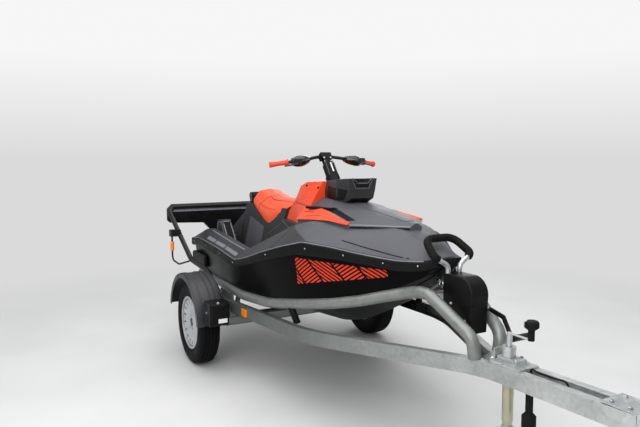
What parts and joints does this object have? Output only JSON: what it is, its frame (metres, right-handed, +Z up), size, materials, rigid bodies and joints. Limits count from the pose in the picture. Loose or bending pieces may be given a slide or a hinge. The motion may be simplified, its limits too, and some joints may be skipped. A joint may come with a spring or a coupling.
{
  "type": "personal watercraft",
  "caption": "Personal watercraft with saddle seat and jet pump, parked on its road trailer with winch, light board, jockey wheel and coupler.",
  "frame": {"origin": "on the floor under the middle of the whole object's bounding box", "axes": "+X forward to the bow and the coupler, +Y to port, +Z up"},
  "size_m": [4.072, 1.63, 1.4622],
  "materials": {
    "amber_lens": "clear coloured",
    "black_bumper_rubber": "matt",
    "black_hull_plastic": "satin moulded plastic",
    "black_paint": "satin powder coat",
    "black_plastic": "matt",
    "black_rubber": "matt",
    "dark_aluminium": "cast",
    "dark_steel": "satin",
    "galvanised_steel": "dull zinc",
    "grey_deck_plastic": "matt moulded plastic",
    "orange_plastic": "satin gloss",
    "orange_rubber": "matt",
    "orange_vinyl": "soft satin",
    "red_lens": "clear coloured",
    "silver_rim": "silver lacquer",
    "stainless_steel": "polished",
    "strap_webbing": "woven",
    "tyre_rubber": "matt"
  },
  "bodies": {
    "craft_on_trailer": {"deck": "grey_deck_plastic", "bumper_rail": "black_bumper_rubber", "foot_wedges": "black_plastic", "seat": "orange_vinyl", "pedestal": "grey_deck_plastic", "seat_handle": "black_plastic", "knee_shroud": "orange_plastic", "hood": "grey_deck_plastic", "hood_wings": "orange_plastic", "hood_fins": "black_plastic", "snout_cowl": "black_plastic", "steering_collar": "black_rubber", "pump_housing": "dark_aluminium", "ride_plate": "dark_aluminium", "intake_grate": "dark_aluminium", "sponsons": "black_plastic", "bow_eye": "stainless_steel", "axle_beam": "galvanised_steel", "trailing_arms": "galvanised_steel", "fenders": "black_plastic", "main_beams": "galvanised_steel", "cradle_tubes": "galvanised_steel", "hull": "black_hull_plastic", "rubber_pads": "black_rubber", "light_board": "black_plastic", "light_hoop": "black_paint", "axle_brackets": "galvanised_steel", "tail_lamps": "red_lens", "marker_stalks": "black_rubber", "side_lamps": "amber_lens", "winch_frame": "galvanised_steel", "winch_drum": "galvanised_steel", "winch_strap": "strap_webbing", "winch_crank": "black_paint", "winch_cover": "black_plastic", "bow_stop": "galvanised_steel", "stop_sleeve": "black_rubber", "jockey_tube": "galvanised_steel", "jockey_crank": "galvanised_steel", "jockey_clamp": "galvanised_steel", "coupler_head": "galvanised_steel", "coupler_handle": "black_paint", "light_cable": "black_rubber"},
    "handlebar": {"handlebar_riser": "black_plastic", "handlebar": "dark_steel", "grips": "orange_rubber", "lever_pods": "black_plastic"},
    "nozzle": {"steering_nozzle": "dark_aluminium"},
    "bucket": {"reverse_bucket": "black_plastic"},
    "impeller": {"impeller": "stainless_steel"},
    "wheel_starboard": {"tyre_starboard": "tyre_rubber", "rim_starboard": "silver_rim", "hub_starboard": "dark_steel"},
    "wheel_port": {"tyre_port": "tyre_rubber", "rim_port": "silver_rim", "hub_port": "dark_steel"},
    "jockey_leg": {"jockey_leg": "galvanised_steel"},
    "jockey_fork": {"jockey_fork": "galvanised_steel"},
    "jockey_wheel": {"jockey_tyre": "black_rubber", "jockey_rim": "black_plastic"}
  },
  "joints": [
    {"name": "handlebar_steer", "type": "hinge", "parent": "craft_on_trailer", "child": "handlebar", "pos_m": [-0.27, 0, 1.302], "axis": [-0.5878, 0, 0.809], "range_deg": [-25, 25]},
    {"name": "nozzle_steer", "type": "hinge", "parent": "craft_on_trailer", "child": "nozzle", "pos_m": [-1.767, 0, 0.5], "axis": [0, 0, 1], "range_deg": [-20, 20]},
    {"name": "bucket_tilt", "type": "hinge", "parent": "craft_on_trailer", "child": "bucket", "pos_m": [-1.825, 0, 0.5], "axis": [0, -1, 0], "range_deg": [0, 70]},
    {"name": "impeller_spin", "type": "hinge", "parent": "craft_on_trailer", "child": "impeller", "pos_m": [-1.5, 0, 0.5], "axis": [1, 0, 0], "continuous": true},
    {"name": "wheel_starboard_spin", "type": "hinge", "parent": "craft_on_trailer", "child": "wheel_starboard", "pos_m": [-0.915, -0.716, 0.285], "axis": [0, 1, 0], "continuous": true},
    {"name": "wheel_port_spin", "type": "hinge", "parent": "craft_on_trailer", "child": "wheel_port", "pos_m": [-0.915, 0.716, 0.285], "axis": [0, 1, 0], "continuous": true},
    {"name": "jockey_height", "type": "slide", "parent": "craft_on_trailer", "child": "jockey_leg", "axis": [0, 0, -1], "range_m": [0, 0.15]},
    {"name": "jockey_swivel", "type": "hinge", "parent": "jockey_leg", "child": "jockey_fork", "pos_m": [1.257, 0, 0.24], "axis": [0, 0, 1], "continuous": true},
    {"name": "jockey_wheel_spin", "type": "hinge", "parent": "jockey_fork", "child": "jockey_wheel", "pos_m": [1.215, 0, 0.1], "axis": [0, 1, 0], "continuous": true}
  ],
  "couplings": [
    {"joint": "nozzle_steer", "follows": "handlebar_steer", "ratio": -0.8}
  ]
}
